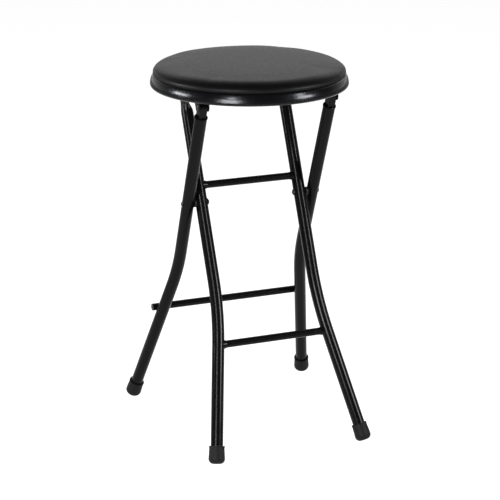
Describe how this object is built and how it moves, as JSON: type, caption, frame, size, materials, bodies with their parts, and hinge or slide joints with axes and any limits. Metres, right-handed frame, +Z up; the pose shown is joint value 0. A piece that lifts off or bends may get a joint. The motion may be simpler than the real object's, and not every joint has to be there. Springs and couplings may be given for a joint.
{
  "type": "folding bar stool",
  "caption": "Folding bar stool: round padded seat that tips up on two crossed tube frames with rungs and rubber feet.",
  "frame": {"origin": "on the floor, under the middle of the open stool's box", "axes": "+Z up, +X along the rungs, -Y towards the front, where the inner frame's feet stand"},
  "size_m": [0.3436, 0.3534, 0.6093],
  "materials": {
    "vinyl": "black vinyl, fine grain, satin",
    "foam": "open cell foam",
    "board": "raw particle board",
    "rim": "gloss black enamel",
    "frame": "black powder coat, semi-gloss",
    "rivets": "black steel",
    "zinc": "zinc plated",
    "rubber": "matte black rubber"
  },
  "bodies": {
    "outer_frame": {"outer_leg_left": "frame", "outer_leg_right": "frame", "outer_plug_left": "frame", "outer_plug_right": "frame", "outer_rung": "frame", "outer_rung_welds": "frame", "outer_foot_left": "rubber", "outer_foot_right": "rubber", "pivot_rivet_left": "rivets", "pivot_rivet_right": "rivets", "pivot_spacer_left": "rivets", "pivot_spacer_right": "rivets", "pivot_washer_left": "rivets", "pivot_washer_right": "rivets"},
    "inner_frame": {"inner_leg_left": "frame", "inner_leg_right": "frame", "support_pin_left": "rivets", "support_pin_right": "rivets", "inner_upper_rung": "frame", "inner_lower_rung": "frame", "inner_rung_welds": "frame", "inner_foot_left": "rubber", "inner_foot_right": "rubber"},
    "seat": {"seat_cover": "vinyl", "seat_foam": "foam", "seat_board": "board", "seat_pan": "rim", "cover_staples": "zinc", "board_tee_nuts": "zinc", "bracket_screws": "zinc", "front_bracket_left": "frame", "front_bracket_right": "frame", "hinge_pin_left": "rivets", "hinge_pin_right": "rivets", "rear_bracket_left": "frame", "rear_bracket_right": "frame"}
  },
  "joints": [
    {"name": "frame_fold", "type": "hinge", "parent": "outer_frame", "child": "inner_frame", "pos_m": [0, 0.01042, 0.3819], "axis": [1, 0, 0], "range_deg": [0, 46.5]},
    {"name": "seat_flip", "type": "hinge", "parent": "outer_frame", "child": "seat", "pos_m": [0, -0.0613, 0.55676], "axis": [1, 0, 0], "range_deg": [0, 108]}
  ]
}
